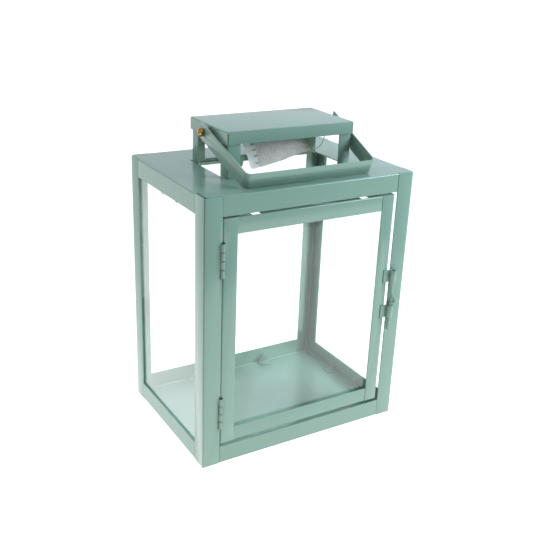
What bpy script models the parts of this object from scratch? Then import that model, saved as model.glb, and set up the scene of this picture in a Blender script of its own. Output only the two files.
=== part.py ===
"""Sheet metal candle lantern: glazed body, hinged door with a pin latch, raised cap and a bail handle.

Metres, +Z up. The origin is the middle of the base; the door faces -Y and its hinges are at -X.
"""
import math

import bmesh
import bpy
from mathutils import Matrix, Vector

mm = 0.001

# Body
body_width = 210 * mm
body_depth = 152 * mm
body_height = 250 * mm
sheet = 1.0 * mm              # frame sheet
bend = 1.2 * mm               # outer radius of a folded edge
tight_bend = 0.15 * mm        # smallest inner radius of a folded edge
fit = 0.3 * mm                # gap left between pieces that touch
post_flange = 16.5 * mm
base_rail = 17.5 * mm         # height of the tray's rails
roof_rail = 17.0 * mm         # height of the roof's flanges

# Glass
glass = 2.0 * mm
pane_gap = 0.5 * mm           # between a rail and the pane behind it
pane_top_drop = 13.7 * mm     # pane's top edge below the roof

# Glass clips
clip_sheet = 0.8 * mm
clip_width = 12 * mm
clip_tip_width = 3 * mm
clip_foot = 8 * mm
lower_clip_height = 10.5 * mm
lower_clip_lean = 2.2 * mm
lower_clip_spacing_side = 44 * mm
lower_clip_spacing_rear = 84 * mm
upper_clip_height = 20.2 * mm
upper_clip_lean = 1.6 * mm
upper_clip_spacing_side = 28 * mm
upper_clip_spacing_rear = 16 * mm

# Chimney: legs and cap over the vent opening
cap_width = 128 * mm
cap_depth = 70 * mm
cap_flange = 11 * mm
cap_sheet = 0.8 * mm
cap_slit = 0.5 * mm
leg_flange = 12.5 * mm
leg_height = 29.5 * mm        # from the roof to the cap's lower edge
vent_rear_gap = 3.9 * mm      # from the rear legs to the vent's rear edge

# Door
door_gap_hinge = 0.9 * mm
door_gap_latch = 2.9 * mm
door_gap_top = 2.0 * mm
door_gap_bottom = 3.3 * mm
door_stile = 13.2 * mm
door_rail = 14.0 * mm
door_flange = 10 * mm         # depth of the door's back flange
door_pane_gap = 1.4 * mm      # leaves room for hinge leaves and strap feet in front of the pane
door_pane_inset = 2.1 * mm    # pane's edge from the stile's outer face
notch_width = 9.2 * mm        # notch in a rail's back flange, its strip bent down as a lug behind the pane
notch_spacing = 110 * mm
lug_length = 8.5 * mm
setback = 0.1 * mm            # of a joined lug or wing from the faces around it

# Hinges
hinge_length = 30 * mm
hinge_drop = 35.5 * mm        # door's top edge to the upper hinge's middle
hinge_rise = 31.2 * mm        # door's bottom edge to the lower hinge's middle
knuckle_radius = 1.7 * mm
hinge_bore = 1.0 * mm
hinge_pin = 0.7 * mm
hinge_proud = 0.55 * mm       # hinge line in front of the front face
knuckles = 4
knuckle_web = 0.15 * mm       # between the bore and the web that carries the knuckle
web_overlap = 0.5 * mm        # web's reach into the leaf
leaf_sheet = 0.8 * mm
leaf_reach = 9.4 * mm

# Latch
latch_offset = 2.8 * mm       # latch line from the middle of the door gap
barrel_radius = 2.9 * mm
barrel_bore = 2.1 * mm
strap_sheet = 0.8 * mm
strap_reach = 8.8 * mm        # from the latch line to the strap's slot
strap_foot = 4.5 * mm
upper_strap_rise = 20.1 * mm  # door's middle to the upper strap's lower edge
upper_strap_length = 11.9 * mm
lower_strap_drop = 3.6 * mm   # door's middle to the lower strap's upper edge
lower_strap_length = 12.7 * mm
latch_pin_radius = 1.65 * mm
latch_pin_below = 12.5 * mm   # pin's end below the lower barrel
latch_pin_above = 9.8 * mm    # pin's end above the upper barrel's lower edge
thumb_out = 4.6 * mm
thumb_forward = 1.2 * mm
thumb_height = 13.2 * mm

# Bail handle
bail_width = 13.9 * mm        # width of the strip
bail_sheet = 1.3 * mm
bail_lean = 4.3 * mm          # each arm comes in by this from pivot to crossbar
bail_reach = 73.4 * mm        # pivot to the crossbar's outer face
bail_end = 5.9 * mm           # arm's end beyond the pivot
bail_corner = 5.5 * mm        # outer radius of its bends
pivot_drop = 6.7 * mm         # pivot below the cap's top

# Pivot hardware
screw_radius = 2.0 * mm
screw_hole = 2.3 * mm
screw_head_radius = 3.8 * mm
screw_head_height = 3.9 * mm
screw_tail = 1.5 * mm
spacer_radius = 3.8 * mm
spacer_length = 3.2 * mm
nut_flats = 7.0 * mm
nut_height = 3.0 * mm

# Sachet and its string
string_radius = 0.4 * mm
sachet_forward = 6 * mm       # in front of the body's middle

# Derived places
half_width = body_width / 2
half_depth = body_depth / 2
front = -half_depth
cap_top = body_height + leg_height + cap_flange
cap_bottom = body_height + leg_height
cap_half_width = cap_width / 2
cap_half_depth = cap_depth / 2
leg_outer_x = cap_half_width - cap_sheet - fit
leg_outer_y = cap_half_depth - cap_sheet - fit
door_left = -half_width + post_flange + door_gap_hinge
door_right = half_width - post_flange - door_gap_latch
door_bottom = base_rail + door_gap_bottom
door_top = body_height - roof_rail - door_gap_top
door_middle = (door_bottom + door_top) / 2
hinge_upper = door_top - hinge_drop
hinge_lower = door_bottom + hinge_rise
upper_strap = (door_middle + upper_strap_rise, door_middle + upper_strap_rise + upper_strap_length)
lower_strap = (door_middle - lower_strap_drop - lower_strap_length, door_middle - lower_strap_drop)
hinge_x = -half_width + post_flange + door_gap_hinge / 2
hinge_y = front - hinge_proud
latch_x = door_right + door_gap_latch / 2 + latch_offset
latch_y = front - fit - barrel_radius
pivot_z = cap_top - pivot_drop
round_steps = 20


def remove_all():
    for obj in list(bpy.data.objects):
        bpy.data.objects.remove(obj, do_unlink=True)


def link(name, data):
    obj = bpy.data.objects.new(name, data)
    bpy.context.scene.collection.objects.link(obj)
    return obj


def from_bmesh(name, bm):
    bmesh.ops.recalc_face_normals(bm, faces=bm.faces)
    mesh = bpy.data.meshes.new(name)
    bm.to_mesh(mesh)
    bm.free()
    return link(name, mesh)


def block(low, high):
    """Box between two corners."""
    bm = bmesh.new()
    bmesh.ops.create_cube(bm, size=1)
    for vert in bm.verts:
        vert.co = Vector([high[i] if vert.co[i] > 0 else low[i] for i in range(3)])
    return from_bmesh("block", bm)


def folded_block(low, high, top, radius):
    """Box whose four edges around its top or bottom face are rounded like folds."""
    obj = block(low, high)
    bm = bmesh.new()
    bm.from_mesh(obj.data)
    level = high[2] if top else low[2]
    edges = [e for e in bm.edges if all(abs(v.co.z - level) < 1e-6 for v in e.verts)]
    bmesh.ops.bevel(bm, geom=edges, offset=radius, segments=4, profile=0.5, affect="EDGES")
    bm.to_mesh(obj.data)
    bm.free()
    return obj


def arc(centre, radius, start, end, steps):
    """Points on an arc, angles in degrees."""
    angles = [math.radians(start + (end - start) * i / steps) for i in range(steps + 1)]
    return [(centre[0] + radius * math.cos(a), centre[1] + radius * math.sin(a)) for a in angles]


def circle(centre, radius, steps=round_steps):
    return arc(centre, radius, 0, 360, steps)[:-1]


def prism(outline, low, high, axis="Z"):
    """Outline extruded along an axis. Outline coordinates are XY for Z, YZ for X and XZ for Y."""
    order = {"Z": (0, 1, 2), "X": (1, 2, 0), "Y": (0, 2, 1)}[axis]
    bm = bmesh.new()
    loops = []
    for level in (low, high):
        loop = []
        for a, b in outline:
            co = [0.0, 0.0, 0.0]
            co[order[0]], co[order[1]], co[order[2]] = a, b, level
            loop.append(bm.verts.new(co))
        loops.append(loop)
    bm.faces.new(loops[0][::-1])
    bm.faces.new(loops[1])
    for i in range(len(outline)):
        j = (i + 1) % len(outline)
        bm.faces.new((loops[0][i], loops[0][j], loops[1][j], loops[1][i]))
    return from_bmesh("prism", bm)


def turned(profile, steps=round_steps):
    """Solid turned about Z from (radius, height) points; the first and last are on the axis."""
    bm = bmesh.new()
    first = bm.verts.new((0, 0, profile[0][1]))
    last = bm.verts.new((0, 0, profile[-1][1]))
    rings = []
    for radius, height in profile[1:-1]:
        rings.append([bm.verts.new((x, y, height)) for x, y in circle((0, 0), radius, steps)])
    for i in range(steps):
        j = (i + 1) % steps
        bm.faces.new((first, rings[0][j], rings[0][i]))
        bm.faces.new((last, rings[-1][i], rings[-1][j]))
        for below, above in zip(rings, rings[1:]):
            bm.faces.new((below[i], below[j], above[j], above[i]))
    return from_bmesh("turned", bm)


def lofted(sections):
    """Closed skin through rings of points, all with the same count; its ends are flat."""
    bm = bmesh.new()
    rings = [[bm.verts.new(point) for point in section] for section in sections]
    count = len(rings[0])
    for near, far in zip(rings, rings[1:]):
        for i in range(count):
            j = (i + 1) % count
            bm.faces.new((near[i], near[j], far[j], far[i]))
    bm.faces.new(rings[0][::-1])
    bm.faces.new(rings[-1])
    return from_bmesh("lofted", bm)


def moved(obj, matrix):
    obj.data.transform(matrix)
    if matrix.determinant() < 0:
        obj.data.flip_normals()
    return obj


def combined(target, tools, operation):
    """Target with each tool added to it or cut from it; the tools are used up."""
    for tool in tools:
        modifier = target.modifiers.new("combine", "BOOLEAN")
        modifier.operation = operation
        modifier.solver = "EXACT"
        modifier.object = tool
        graph = bpy.context.evaluated_depsgraph_get()
        mesh = bpy.data.meshes.new_from_object(target.evaluated_get(graph))
        target.modifiers.clear()
        target.data = mesh
        bpy.data.objects.remove(tool, do_unlink=True)
    return target


def joined(target, *tools):
    return combined(target, tools, "UNION")


def cut(target, *tools):
    return combined(target, tools, "DIFFERENCE")


finishes = {
    # name: sRGB colour, roughness, metallic, transmission
    "sage_paint": ((0.545, 0.678, 0.616), 0.35, 0.0, 0.0),
    "clear_glass": ((0.92, 0.97, 0.95), 0.03, 0.0, 1.0),
    "brass": ((0.78, 0.60, 0.27), 0.25, 1.0, 0.0),
    "zinc": ((0.62, 0.63, 0.63), 0.35, 1.0, 0.0),
    "nonwoven": ((0.80, 0.79, 0.79), 0.9, 0.0, 0.0),
    "cotton": ((0.88, 0.86, 0.82), 0.9, 0.0, 0.0),
}


def linear(value):
    return value / 12.92 if value <= 0.04045 else ((value + 0.055) / 1.055) ** 2.4


def finished(obj, name, finish, parent=None):
    """Names the piece, gives it its own material and hangs it on its joint's empty."""
    colour, roughness, metallic, transmission = finishes[finish]
    obj.name = name
    obj.data.name = name
    material = bpy.data.materials.new(f"{name}_{finish}")
    material.use_nodes = True
    shader = material.node_tree.nodes["Principled BSDF"]
    shader.inputs["Base Color"].default_value = [linear(c) for c in colour] + [1]
    shader.inputs["Roughness"].default_value = roughness
    shader.inputs["Metallic"].default_value = metallic
    shader.inputs["Transmission Weight"].default_value = transmission
    obj.data.materials.clear()
    obj.data.materials.append(material)
    if parent:
        obj.parent = parent
        obj.matrix_parent_inverse = parent.matrix_world.inverted()
    return obj


def smoothed(obj, angle=35):
    obj.data.shade_smooth()
    obj.data.set_sharp_from_angle(angle=math.radians(angle))
    return obj


def joint_empty(name, place, parent=None):
    obj = link(name, None)
    obj.empty_display_size = 10 * mm
    obj.location = place
    if parent:
        obj.parent = parent
        obj.matrix_parent_inverse = parent.matrix_world.inverted()
    bpy.context.view_layer.update()
    return obj


def angle_section(flange_x, flange_y, thickness, radius):
    """L-section with its outer corner at (0, 0) and a rounded fold."""
    inner = max(radius - thickness, tight_bend)
    fold = arc((radius, radius), radius, 180, 270, 5)
    throat = arc((thickness + inner, thickness + inner), inner, 270, 180, 3)
    return fold + [(flange_x, 0), (flange_x, thickness)] + throat + [(thickness, flange_y), (0, flange_y)]


def at_corner(outline, corner_x, corner_y, side_x, side_y):
    """Outline measured inwards from a corner, put at that corner of the plan."""
    return [(corner_x - side_x * a, corner_y - side_y * b) for a, b in outline]


def post_clearance(side_x, side_y, low, high):
    """Room for a corner post and the gap around it."""
    reach = post_flange + fit
    depth = sheet + fit
    out = -1 * mm
    outline = [(out, out), (reach, out), (reach, depth), (depth, depth), (depth, reach), (out, reach)]
    return prism(at_corner(outline, side_x * half_width, side_y * half_depth, side_x, side_y), low, high)


corners = [("front_left", -1, -1), ("front_right", 1, -1), ("rear_left", -1, 1), ("rear_right", 1, 1)]


def base_tray():
    tray = folded_block((-half_width, front, 0), (half_width, half_depth, base_rail), False, bend)
    inside = block((-half_width + sheet, front + sheet, sheet),
                   (half_width - sheet, half_depth - sheet, base_rail + sheet))
    rooms = [post_clearance(sx, sy, -sheet, base_rail + sheet) for _, sx, sy in corners]
    finished(cut(tray, inside, *rooms), "base_tray", "sage_paint")


def roof_panel():
    low = body_height - roof_rail
    panel = folded_block((-half_width, front, low), (half_width, half_depth, body_height), True, bend)
    inside = block((-half_width + sheet, front + sheet, low - sheet),
                   (half_width - sheet, half_depth - sheet, body_height - sheet))
    vent = block((-leg_outer_x - fit, -leg_outer_y - fit, low),
                 (leg_outer_x + fit, leg_outer_y + vent_rear_gap, body_height + sheet))
    rooms = [post_clearance(sx, sy, low - sheet, body_height + sheet) for _, sx, sy in corners]
    finished(cut(panel, inside, vent, *rooms), "roof_panel", "sage_paint")


def corner_posts():
    for place, sx, sy in corners:
        outline = at_corner(angle_section(post_flange, post_flange, sheet, bend),
                            sx * half_width, sy * half_depth, sx, sy)
        post = prism(outline, 0, body_height)
        if place == "front_left":
            post = cut(post, *hinge_notches(hinge_x - knuckle_radius - fit, hinge_x))
        finished(smoothed(post), f"corner_post_{place}", "sage_paint")


def hinge_notches(x_low, x_high, depth=sheet + fit):
    """Cuts for both hinges in a front flange."""
    half = hinge_length / 2 + fit
    return [block((x_low, front - sheet, z - half), (x_high, front + depth, z + half))
            for z in (hinge_lower, hinge_upper)]


def cap_legs():
    for place, sx, sy in corners:
        outline = at_corner(angle_section(leg_flange, leg_flange, sheet, bend),
                            sx * leg_outer_x, sy * leg_outer_y, sx, sy)
        leg = prism(outline, body_height - sheet, cap_top - cap_sheet - fit)
        finished(smoothed(leg), f"cap_leg_{place}", "sage_paint")


def cap():
    shell = folded_block((-cap_half_width, -cap_half_depth, cap_bottom),
                         (cap_half_width, cap_half_depth, cap_top), True, bend)
    inside = block((-cap_half_width + cap_sheet, -cap_half_depth + cap_sheet, cap_bottom - sheet),
                   (cap_half_width - cap_sheet, cap_half_depth - cap_sheet, cap_top - cap_sheet))
    slits = []
    for _, sx, sy in corners:
        xs = sorted((sx * (cap_half_width - cap_sheet), sx * (cap_half_width - cap_sheet - cap_slit)))
        ys = sorted((sy * (cap_half_depth + sheet), sy * (cap_half_depth - cap_sheet - fit)))
        slits.append(block((xs[0], ys[0], cap_bottom - sheet), (xs[1], ys[1], cap_top - bend)))
    hole = prism(circle((0, pivot_z), screw_hole), -cap_width, cap_width, "X")
    finished(cut(shell, inside, *slits, hole), "cap", "sage_paint")


def fixed_panes():
    low = sheet + fit
    high = body_height - pane_top_drop
    outer = sheet + pane_gap
    inner = outer + glass
    end = half_width - inner - pane_gap
    finished(block((-end, half_depth - inner, low), (end, half_depth - outer, high)),
             "pane_rear", "clear_glass")
    for name, sx in (("pane_left", -1), ("pane_right", 1)):
        xs = sorted((sx * (half_width - inner), sx * (half_width - outer)))
        pane = block((xs[0], front + sheet + fit + leaf_sheet + fit + pane_gap, low),
                     (xs[1], half_depth - outer, high))
        finished(pane, name, "clear_glass")


def clip(height, lean):
    """Clip with its tab on the plane y = 0, its foot towards -y and its root at z = 0."""
    foot = block((-clip_width / 2, -clip_foot, 0), (clip_width / 2, 0, clip_sheet))
    wide = clip_width / 2
    narrow = clip_tip_width / 2
    root = [(-wide, -clip_sheet, 0), (wide, -clip_sheet, 0), (wide, 0, 0), (-wide, 0, 0)]
    tip = [(-narrow, -clip_sheet - lean, height), (narrow, -clip_sheet - lean, height),
           (narrow, -lean, height), (-narrow, -lean, height)]
    return joined(foot, lofted([root, tip]))


def glass_clips():
    inner = sheet + pane_gap + glass + fit
    sides = [("rear", 0, half_depth - inner, lower_clip_spacing_rear, upper_clip_spacing_rear),
             ("left", 90, half_width - inner, lower_clip_spacing_side, upper_clip_spacing_side),
             ("right", -90, half_width - inner, lower_clip_spacing_side, upper_clip_spacing_side)]
    for side, turn, distance, lower_spacing, upper_spacing in sides:
        spin = Matrix.Rotation(math.radians(turn), 4, "Z")
        for end, sign in (("a", -1), ("b", 1)):
            lower = moved(clip(lower_clip_height, lower_clip_lean),
                          spin @ Matrix.Translation((sign * lower_spacing / 2, distance, sheet + fit)))
            finished(lower, f"lower_clip_{side}_{end}", "sage_paint")
            hang = Matrix.Translation((sign * upper_spacing / 2, distance, body_height - sheet - fit))
            upper = moved(clip(upper_clip_height, upper_clip_lean),
                          spin @ hang @ Matrix.Scale(-1, 4, (0, 0, 1)))
            finished(upper, f"upper_clip_{side}_{end}", "sage_paint")


def door_stiles(body):
    section = angle_section(door_stile, door_flange, sheet, bend)
    left = prism(at_corner(section, door_left, front, -1, -1), door_bottom, door_top)
    left = cut(left, *hinge_notches(door_left - sheet, hinge_x + knuckle_radius + 2 * fit,
                                    sheet + fit + leaf_sheet + fit))
    finished(smoothed(left), "door_stile_left", "sage_paint", body)
    right = prism(at_corner(section, door_right, front, 1, -1), door_bottom, door_top)
    slot_x = latch_x - strap_reach
    slots = [block((slot_x - fit, front - sheet, low - fit),
                   (slot_x + strap_sheet + fit, front + 2 * sheet, high + fit))
             for low, high in (lower_strap, upper_strap)]
    finished(smoothed(cut(right, *slots)), "door_stile_right", "sage_paint", body)


def door_rails(body):
    """Rails between the stiles; their back flanges run on behind the stiles' ends."""
    x_low = door_left + door_stile + fit
    x_high = door_right - door_stile - fit
    section = angle_section(door_rail, door_flange, sheet, bend)
    back = front + door_flange
    pane_back = front + sheet + door_pane_gap + glass + fit
    for name, edge, up in (("door_rail_top", door_top, 1), ("door_rail_bottom", door_bottom, -1)):
        outline = [(front + b, edge - up * a) for a, b in section]
        rail = prism(outline, x_low, x_high, "X")
        added = []
        for outer, inner in ((door_left + sheet + fit, x_low + sheet),
                             (door_right - sheet - fit, x_high - sheet)):
            xs = sorted((outer, inner))
            zs = sorted((edge - up * setback, edge - up * (sheet - setback)))
            added.append(block((xs[0], front + sheet + fit, zs[0]), (xs[1], back - setback, zs[1])))
        notches = []
        for sign in (-1, 1):
            x = (door_left + door_right) / 2 + sign * notch_spacing / 2
            notches.append(block((x - notch_width / 2, front + sheet, edge - sheet * 2),
                                 (x + notch_width / 2, back + sheet, edge + sheet * 2)))
            zs = sorted((edge - up * setback, edge - up * lug_length))
            added.append(block((x - notch_width / 2 - sheet, pane_back, zs[0]),
                               (x - notch_width / 2 - setback, back - setback, zs[1])))
        finished(smoothed(joined(cut(rail, *notches), *added)), name, "sage_paint", body)


def door_pane(body):
    y = front + sheet + door_pane_gap
    low = door_bottom + sheet + fit
    high = door_top - sheet - fit
    pane = block((door_left + door_pane_inset, y, low), (door_right - door_pane_inset, y + glass, high))
    finished(pane, "door_pane", "clear_glass", body)


def hinge_leaf(side, middle, first):
    """Leaf on one side of the hinge line, with every other knuckle from the first one down."""
    plate_y = front + sheet + fit
    near = hinge_x + side * (knuckle_radius + fit)
    far = near + side * leaf_reach
    half = hinge_length / 2
    xs = sorted((near, far))
    leaf = block((xs[0], plate_y, middle - half), (xs[1], plate_y + leaf_sheet, middle + half))
    pitch = (hinge_length + fit) / knuckles
    inner_y = hinge_y + hinge_bore + knuckle_web
    root = near + side * web_overlap
    web = [(hinge_x, inner_y), (root, plate_y), (root, plate_y + leaf_sheet),
           (near, plate_y + leaf_sheet), (hinge_x, hinge_y + knuckle_radius)]
    bores = []
    for i in range(first, knuckles, 2):
        top = middle + half - i * pitch
        bottom = top - pitch + fit
        leaf = joined(leaf, prism(web, bottom, top))
        leaf = joined(leaf, prism(circle((hinge_x, hinge_y), knuckle_radius), bottom, top))
        bores.append(prism(circle((hinge_x, hinge_y), hinge_bore), bottom - fit, top + fit))
    return smoothed(cut(leaf, *bores))


def hinges(body):
    for place, middle in (("upper", hinge_upper), ("lower", hinge_lower)):
        finished(hinge_leaf(-1, middle, 1), f"hinge_{place}_frame_leaf", "sage_paint")
        finished(hinge_leaf(1, middle, 0), f"hinge_{place}_door_leaf", "sage_paint", body)
        half = hinge_length / 2
        pin = prism(circle((hinge_x, hinge_y), hinge_pin), middle - half, middle + half)
        finished(smoothed(pin), f"hinge_{place}_pin", "sage_paint")


def latch_straps(body):
    """Straps hooked through the stile from behind, their ends curled into barrels over the post."""
    face = front - fit
    back = front + sheet + fit
    slot_x = latch_x - strap_reach
    for name, (low, high) in (("latch_strap_upper", upper_strap), ("latch_strap_lower", lower_strap)):
        strap = prism([(slot_x, face - strap_sheet), (latch_x, face - strap_sheet), (latch_x, face),
                       (slot_x + strap_sheet, face), (slot_x + strap_sheet, back + strap_sheet),
                       (slot_x - strap_foot, back + strap_sheet), (slot_x - strap_foot, back),
                       (slot_x, back)], low, high)
        strap = joined(strap, prism(circle((latch_x, latch_y), barrel_radius, 24), low, high))
        strap = cut(strap, prism(circle((latch_x, latch_y), barrel_bore, 24), low - fit, high + fit))
        finished(smoothed(strap), name, "sage_paint", body)


def tube(name, points, radius, resolution):
    curve = bpy.data.curves.new(name, "CURVE")
    curve.dimensions = "3D"
    curve.bevel_depth = radius
    curve.bevel_resolution = resolution
    curve.use_fill_caps = True
    spline = curve.splines.new("POLY")
    spline.points.add(len(points) - 1)
    for point, place in zip(spline.points, points):
        point.co = (*place, 1)
    return link(name, curve)


def smooth_route(places, per_span):
    """Points read from one smooth curve through the places."""
    ends = [2 * places[0] - places[1]] + places + [2 * places[-1] - places[-2]]
    route = []
    for a, b, c, d in zip(ends, ends[1:], ends[2:], ends[3:]):
        for i in range(per_span):
            t = i / per_span
            route.append(0.5 * (2 * b + (c - a) * t + (2 * a - 5 * b + 4 * c - d) * t * t
                                + (3 * b - a - 3 * c + d) * t ** 3))
    return route + [places[-1]]


def latch_pin(body):
    low = lower_strap[0] - latch_pin_below
    high = upper_strap[0] + latch_pin_above
    rest = lower_strap[1] + fit + latch_pin_radius
    bends = [(0, 0, rest), (0.55, 0.6, rest + 0.3 * mm), (1, 1, rest + 2.4 * mm), (0.8, 0.85, rest + 4.6 * mm),
             (0.35, 0.4, rest + 8.6 * mm), (0, 0, rest + thumb_height)]
    places = [Vector((latch_x + a * thumb_out, latch_y - b * thumb_forward, z)) for a, b, z in bends]
    route = [Vector((latch_x, latch_y, low))] + smooth_route(places, 3) + [Vector((latch_x, latch_y, high))]
    pin = tube("latch_pin", route, latch_pin_radius, 3)
    finished(pin, "latch_pin", "sage_paint", body)


def rest_angle():
    """Angle of the arms below level when the crossbar's lower edge lies on the roof."""
    half = bail_width / 2
    drop = pivot_z - body_height - fit
    return math.asin(drop / math.hypot(bail_reach, half)) - math.atan2(half, bail_reach)


def bail_handle(body):
    """U of flat strip, drawn in its own plane and laid at its rest angle."""
    arm = cap_half_width + fit + spacer_length + fit + bail_sheet
    bar = arm - bail_lean
    inner = bail_corner - bail_sheet

    def half_u(at_pivot, at_bar, reach, radius):
        lean = math.degrees(math.atan2(at_pivot - at_bar, reach))
        top = at_pivot + (at_pivot - at_bar) * bail_end / bail_reach
        return [(top, -bail_end)] + arc((at_bar - radius, reach - radius), radius, -lean, 90, 6)

    outer = half_u(arm, bar, bail_reach, bail_corner)
    inside = half_u(arm - bail_sheet, bar - bail_sheet, bail_reach - bail_sheet, inner)
    outline = outer + [(-x, u) for x, u in outer[::-1]] + [(-x, u) for x, u in inside] + inside[::-1]
    strip = prism(outline, -bail_width / 2, bail_width / 2)
    hole = prism(circle((0, 0), screw_hole), -body_width, body_width, "X")
    strip = cut(strip, hole)
    lay = Matrix.Translation((0, 0, pivot_z)) @ Matrix.Rotation(rest_angle(), 4, "X")
    moved(strip, lay @ Matrix.Scale(-1, 4, (0, 1, 0)))
    finished(smoothed(strip), "bail_handle", "sage_paint", body)


def pivot_hardware():
    spacer_low = cap_half_width + fit
    head_low = spacer_low + spacer_length + fit + bail_sheet + fit
    nut_high = cap_half_width - cap_sheet - fit
    for side, sign in (("left", -1), ("right", 1)):
        place = Matrix.Translation((0, 0, pivot_z)) @ Matrix.Rotation(math.radians(sign * 90), 4, "Y")
        dome = [(screw_head_radius * math.cos(a), head_low + screw_head_height * (0.3 + 0.7 * math.sin(a)))
                for a in [math.radians(15 * i) for i in range(6)]]
        profile = [(0, nut_high - nut_height - screw_tail), (screw_radius, nut_high - nut_height - screw_tail),
                   (screw_radius, head_low), (screw_head_radius, head_low)] + dome
        screw = turned(profile + [(0, head_low + screw_head_height)])
        finished(smoothed(moved(screw, place)), f"pivot_screw_{side}", "brass")

        spacer = prism(circle((0, 0), spacer_radius), spacer_low, spacer_low + spacer_length)
        spacer = cut(spacer, prism(circle((0, 0), screw_hole), 0, body_width))
        finished(smoothed(moved(spacer, place)), f"pivot_spacer_{side}", "brass")

        nut = prism(circle((0, 0), nut_flats / math.sqrt(3), 6), nut_high - nut_height, nut_high)
        nut = cut(nut, prism(circle((0, 0), screw_hole), 0, body_width))
        finished(smoothed(moved(nut, place)), f"pivot_nut_{side}", "brass")


def sachet():
    """Small flat bag, sealed at its left end and gathered to a neck at its right end."""
    sections = [  # x, height of the middle above the roof, half height, half thickness, lean of the section
        (-28.6, 10.6, 12.4, 0.9, -5.0), (-24.0, 11.0, 12.8, 1.2, -4.6), (-16.0, 12.6, 13.2, 3.6, -3.6),
        (-4.0, 14.8, 13.4, 5.8, -2.0), (8.0, 16.2, 12.6, 6.2, -1.0), (20.0, 16.2, 9.8, 5.4, 0.0),
        (30.0, 14.4, 6.0, 3.8, 0.0), (37.0, 12.0, 2.8, 2.3, 0.0), (40.6, 11.2, 1.5, 1.4, 0.0)]
    rings = []
    for x, z, half_z, half_y, lean in sections:
        rings.append([(x * mm + lean * mm * math.sin(a), half_y * mm * math.cos(a) - sachet_forward,
                       body_height + z * mm + half_z * mm * math.sin(a))
                      for a in [2 * math.pi * i / 16 for i in range(16)]])
    finished(smoothed(lofted(rings), 60), "desiccant_sachet", "nonwoven")


def sachet_string():
    """Hangs from the right pivot screw's tail, inside the cap, to the sachet's neck."""
    places = [(58.0, 0.0, 30.6), (58.1, -0.2, 26.5), (57.3, -0.8, 21.8), (55.0, -2.0, 16.8), (51.0, -3.8, 12.8),
              (46.5, -5.3, 11.0), (41.2, -6.0, 11.2)]
    route = smooth_route([Vector((x * mm, y * mm, body_height + z * mm)) for x, y, z in places], 4)
    finished(tube("sachet_string", route, string_radius, 2), "sachet_string", "cotton")


def build():
    remove_all()
    door = joint_empty("door_axis", (hinge_x, hinge_y, door_middle))
    latch = joint_empty("latch_axis", (latch_x, latch_y, lower_strap[1]), door)
    bail = joint_empty("bail_axis", (0, 0, pivot_z))
    base_tray()
    corner_posts()
    roof_panel()
    fixed_panes()
    glass_clips()
    cap_legs()
    cap()
    door_stiles(door)
    door_rails(door)
    door_pane(door)
    hinges(door)
    latch_straps(door)
    latch_pin(latch)
    bail_handle(bail)
    pivot_hardware()
    sachet()
    sachet_string()


build()
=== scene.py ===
import math

import bmesh
import bpy
from mathutils import Matrix, Vector, noise


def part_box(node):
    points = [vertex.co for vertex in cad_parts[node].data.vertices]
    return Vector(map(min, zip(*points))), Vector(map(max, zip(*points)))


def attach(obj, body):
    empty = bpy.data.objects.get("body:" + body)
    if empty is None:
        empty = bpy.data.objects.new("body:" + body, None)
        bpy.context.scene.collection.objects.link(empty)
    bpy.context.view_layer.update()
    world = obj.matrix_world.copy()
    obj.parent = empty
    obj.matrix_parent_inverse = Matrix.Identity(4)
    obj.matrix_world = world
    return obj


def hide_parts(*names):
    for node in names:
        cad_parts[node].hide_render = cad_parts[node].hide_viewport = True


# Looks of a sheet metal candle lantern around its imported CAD. Metres, +Z up, door towards -Y.
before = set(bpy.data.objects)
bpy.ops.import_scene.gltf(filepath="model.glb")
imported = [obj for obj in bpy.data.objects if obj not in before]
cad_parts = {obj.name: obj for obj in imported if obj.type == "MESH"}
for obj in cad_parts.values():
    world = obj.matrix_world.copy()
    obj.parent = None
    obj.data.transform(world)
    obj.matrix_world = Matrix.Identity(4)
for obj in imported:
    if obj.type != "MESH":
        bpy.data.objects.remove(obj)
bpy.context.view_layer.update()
mm = 0.001
print("frame loaded")


# Small tools

def linear(hexColour):
    parts = [int(hexColour[i:i + 2], 16) / 255 for i in (1, 3, 5)]
    return (*[c / 12.92 if c <= 0.04045 else ((c + 0.055) / 1.055) ** 2.4 for c in parts], 1)


def feed(tree, node, links):
    for socket, source in links.items():
        tree.links.new(source, node.inputs[socket])


def addNode(tree, kind, values=None, links=None, **settings):
    node = tree.nodes.new(kind)
    for name, value in settings.items():
        setattr(node, name, value)
    for socket, value in (values or {}).items():
        node.inputs[socket].default_value = value
    feed(tree, node, links or {})
    return node


def newMaterial(name, values=None):
    # the values go straight onto the shader's own sockets
    material = bpy.data.materials.new(name)
    material.use_nodes = True
    tree = material.node_tree
    tree.nodes.clear()
    shader = addNode(tree, "ShaderNodeBsdfPrincipled", values)
    output = addNode(tree, "ShaderNodeOutputMaterial", None, {"Surface": shader.outputs[0]})
    return material, tree, shader, output


def setRamp(ramp, stops):
    elements = ramp.color_ramp.elements
    while len(elements) < len(stops):
        elements.new(0.5)
    for element, (position, colour) in zip(elements, stops):
        element.position, element.color = position, colour


def pieceName(node):
    first, *rest = node.split("_")
    return first + "".join(part.title() for part in rest)


def newObject(name, data):
    obj = bpy.data.objects.new(name, data)
    bpy.context.scene.collection.objects.link(obj)
    return obj


def discard(obj):
    bpy.data.objects.remove(obj, do_unlink=True)


def fromBmesh(name, bm, materials):
    mesh = bpy.data.meshes.new(name)
    bm.to_mesh(mesh)
    bm.free()
    for material in materials:
        mesh.materials.append(material)
    return newObject(name, mesh)


def piece(name, bm, *materials):
    # a closed bmesh becomes an object whose faces point outwards
    bmesh.ops.recalc_face_normals(bm, faces=bm.faces)
    return fromBmesh(name, bm, materials)


shading = {"smoothUpTo": 35, "edgeSegments": 2, "edgeFrom": 40}  # angles in degrees


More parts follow.
